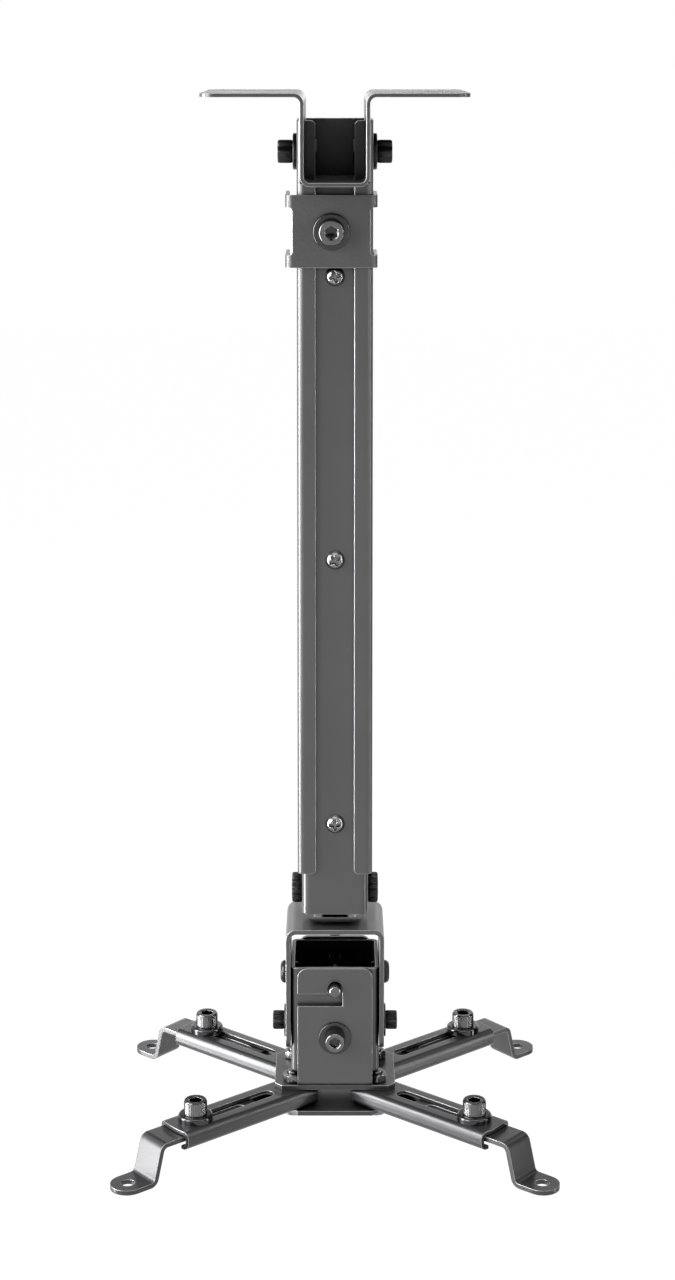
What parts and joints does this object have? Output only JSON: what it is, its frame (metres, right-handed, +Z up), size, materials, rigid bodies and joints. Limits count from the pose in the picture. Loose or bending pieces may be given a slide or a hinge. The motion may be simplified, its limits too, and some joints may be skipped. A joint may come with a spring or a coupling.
{
  "type": "projector ceiling mount",
  "caption": "Telescopic steel ceiling mount for a projector: ceiling bracket, sliding column with clamp, swivel, tilt and roll head, and swinging slotted arms with adjustable feet.",
  "frame": {"origin": "centre of the ceiling slots, on the face that bears on the ceiling", "axes": "+Z up into the ceiling, +X to the right seen from the front, the front faces -Y"},
  "size_m": [0.1854, 0.1518, 0.4489],
  "materials": {
    "graphite_paint": "satin powder coat",
    "nickel_steel": "dark nickel plate",
    "black_steel": "blackened steel"
  },
  "bodies": {
    "frame": {"ceiling_bracket": "graphite_paint", "outer_channel": "graphite_paint", "bracket_bolt_left": "black_steel", "bracket_bolt_right": "black_steel", "bracket_washers": "black_steel", "bracket_nuts": "black_steel"},
    "mast": {"inner_channel": "graphite_paint", "guide_screws": "nickel_steel", "height_clamp": "graphite_paint", "clamp_washer": "black_steel", "clamp_screw": "nickel_steel", "clamp_nut": "black_steel", "swivel_clevis": "nickel_steel", "clevis_bolt_left": "black_steel", "clevis_bolt_right": "black_steel", "swivel_bolt": "nickel_steel", "swivel_washer": "nickel_steel", "swivel_nut": "nickel_steel"},
    "swivel": {"yoke": "graphite_paint", "tilt_rivet_left": "black_steel", "tilt_rivet_right": "black_steel", "tilt_bolt_left": "black_steel", "tilt_bolt_right": "black_steel", "tilt_washers": "black_steel", "tilt_nuts": "black_steel"},
    "cradle": {"tilt_box": "graphite_paint", "cross_pin": "nickel_steel", "roll_washer_front": "black_steel", "roll_washer_rear": "black_steel", "roll_bolt_front": "nickel_steel", "roll_bolt_rear": "nickel_steel", "roll_nuts": "black_steel"},
    "hub": {"hub_bracket": "graphite_paint", "hub_plate": "graphite_paint", "lower_plate": "graphite_paint", "hub_screws": "nickel_steel", "hub_nuts": "nickel_steel"},
    "arm_front_left_body": {"arm_front_left": "graphite_paint", "arm_washer_front_left": "nickel_steel", "arm_screw_front_left": "nickel_steel", "arm_nut_front_left": "black_steel"},
    "foot_front_left_body": {"foot_front_left": "graphite_paint"},
    "arm_front_right_body": {"arm_front_right": "graphite_paint", "arm_washer_front_right": "nickel_steel", "arm_screw_front_right": "nickel_steel", "arm_nut_front_right": "black_steel"},
    "foot_front_right_body": {"foot_front_right": "graphite_paint"},
    "arm_rear_left_body": {"arm_rear_left": "graphite_paint", "arm_washer_rear_left": "nickel_steel", "arm_screw_rear_left": "nickel_steel", "arm_nut_rear_left": "black_steel"},
    "foot_rear_left_body": {"foot_rear_left": "graphite_paint"},
    "arm_rear_right_body": {"arm_rear_right": "graphite_paint", "arm_washer_rear_right": "nickel_steel", "arm_screw_rear_right": "nickel_steel", "arm_nut_rear_right": "black_steel"},
    "foot_rear_right_body": {"foot_rear_right": "graphite_paint"}
  },
  "joints": [
    {"name": "height_slide", "type": "slide", "parent": "frame", "child": "mast", "axis": [0, 0, -1], "range_m": [0, 0.22]},
    {"name": "yoke_swivel", "type": "hinge", "parent": "mast", "child": "swivel", "pos_m": [0, 0, -0.3584], "axis": [0, 0, 1], "continuous": true},
    {"name": "head_tilt", "type": "hinge", "parent": "swivel", "child": "cradle", "pos_m": [0, 0, -0.3837], "axis": [1, 0, 0], "range_deg": [-20, 20]},
    {"name": "head_roll", "type": "hinge", "parent": "cradle", "child": "hub", "pos_m": [0, 0, -0.3837], "axis": [0, 1, 0], "range_deg": [-6, 6]},
    {"name": "swing_front_left", "type": "hinge", "parent": "hub", "child": "arm_front_left_body", "pos_m": [-0.018, -0.012, -0.4336], "axis": [0, 0, 1], "range_deg": [-35, 45]},
    {"name": "reach_front_left", "type": "slide", "parent": "arm_front_left_body", "child": "foot_front_left_body", "axis": [-0.766, -0.6428, 0], "range_m": [-0.005, 0.022]},
    {"name": "swing_front_right", "type": "hinge", "parent": "hub", "child": "arm_front_right_body", "pos_m": [0.018, -0.012, -0.4336], "axis": [0, 0, -1], "range_deg": [-35, 45]},
    {"name": "reach_front_right", "type": "slide", "parent": "arm_front_right_body", "child": "foot_front_right_body", "axis": [0.766, -0.6428, 0], "range_m": [-0.005, 0.022]},
    {"name": "swing_rear_left", "type": "hinge", "parent": "hub", "child": "arm_rear_left_body", "pos_m": [-0.018, 0.012, -0.4336], "axis": [0, 0, -1], "range_deg": [-35, 45]},
    {"name": "reach_rear_left", "type": "slide", "parent": "arm_rear_left_body", "child": "foot_rear_left_body", "axis": [-0.766, 0.6428, 0], "range_m": [-0.005, 0.022]},
    {"name": "swing_rear_right", "type": "hinge", "parent": "hub", "child": "arm_rear_right_body", "pos_m": [0.018, 0.012, -0.4336], "axis": [0, 0, 1], "range_deg": [-35, 45]},
    {"name": "reach_rear_right", "type": "slide", "parent": "arm_rear_right_body", "child": "foot_rear_right_body", "axis": [0.766, 0.6428, 0], "range_m": [-0.005, 0.022]}
  ]
}
